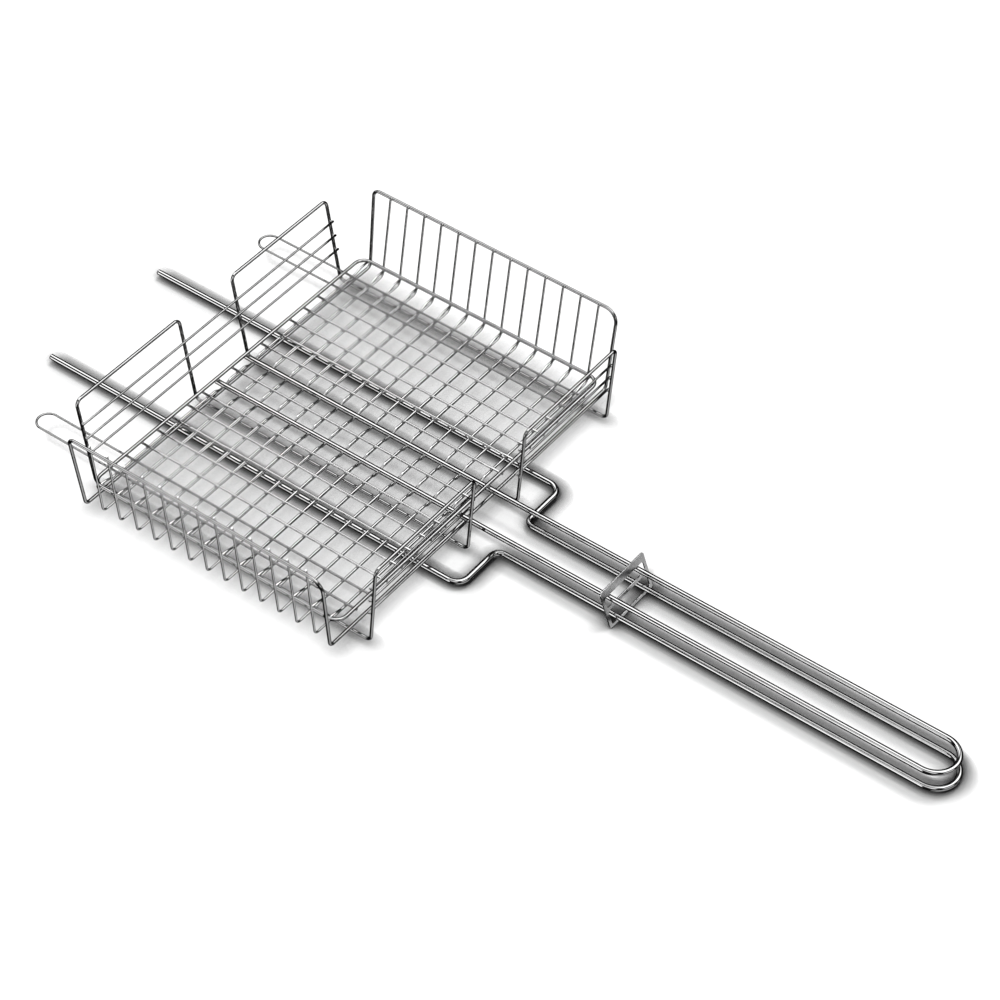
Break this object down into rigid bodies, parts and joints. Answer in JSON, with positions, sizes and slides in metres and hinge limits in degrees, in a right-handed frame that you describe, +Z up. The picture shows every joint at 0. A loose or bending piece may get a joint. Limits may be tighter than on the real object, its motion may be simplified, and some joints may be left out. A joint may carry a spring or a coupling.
{
  "type": "grill basket",
  "caption": "Flat wire barbecue basket with low mesh walls, a hinged mesh lid, a long double-loop rod handle and a sliding lock plate.",
  "frame": {"origin": "middle of the whole object's footprint, on the surface it stands on", "axes": "+X along the handle towards its U end, +Y to the basket's left side, +Z up out of the open top"},
  "size_m": [0.8578, 0.3978, 0.0905],
  "materials": {
    "wire": "bright plated steel wire, spot welded",
    "handle_rods": "bright plated steel rod",
    "sheet_steel": "bright plated pressed sheet steel"
  },
  "bodies": {
    "basket": {"basket_wire_01": "wire", "basket_wire_02": "wire", "basket_wire_03": "wire", "basket_wire_04": "wire", "basket_wire_05": "wire", "basket_wire_06": "wire", "basket_wire_07": "wire", "basket_wire_08": "wire", "basket_wire_09": "wire", "basket_wire_10": "wire", "basket_wire_11": "wire", "basket_wire_12": "wire", "basket_wire_13": "wire", "front_left_wire_high": "wire", "front_left_wire_low": "wire", "front_left_wire_middle": "wire", "front_right_wire_high": "wire", "front_right_wire_low": "wire", "front_right_wire_middle": "wire", "left_panel_frame": "wire", "lower_handle_loop": "handle_rods", "rear_wall_wire_high": "wire", "rear_wall_wire_low": "wire", "rear_wall_wire_middle": "wire", "right_panel_frame": "wire", "side_wall_frame": "wire"},
    "lid": {"lid_cross_wire_01": "wire", "lid_cross_wire_02": "wire", "lid_cross_wire_03": "wire", "lid_cross_wire_04": "wire", "lid_cross_wire_05": "wire", "lid_cross_wire_06": "wire", "lid_cross_wire_07": "wire", "lid_cross_wire_08": "wire", "lid_cross_wire_09": "wire", "lid_cross_wire_10": "wire", "lid_cross_wire_11": "wire", "lid_cross_wire_12": "wire", "lid_cross_wire_13": "wire", "lid_cross_wire_14": "wire", "lid_frame": "wire", "lid_long_wire_01": "wire", "lid_long_wire_02": "wire", "lid_long_wire_03": "wire", "lid_long_wire_04": "wire", "lid_long_wire_05": "wire", "lid_long_wire_06": "wire", "lid_long_wire_07": "wire", "lid_long_wire_08": "wire", "lid_long_wire_09": "wire", "lid_long_wire_10": "wire", "lid_long_wire_11": "wire", "lid_tongue_left": "wire", "lid_tongue_right": "wire", "upper_handle_loop": "handle_rods"},
    "lock": {"lock_plate": "sheet_steel"}
  },
  "joints": [
    {"name": "lid_hinge", "type": "hinge", "parent": "basket", "child": "lid", "pos_m": [-0.3004, 0, 0.02371], "axis": [0, -1, 0], "range_deg": [0, 68]},
    {"name": "lock_slide", "type": "slide", "parent": "basket", "child": "lock", "axis": [1, 0, 0], "range_m": [-0.07, 0.27]}
  ]
}
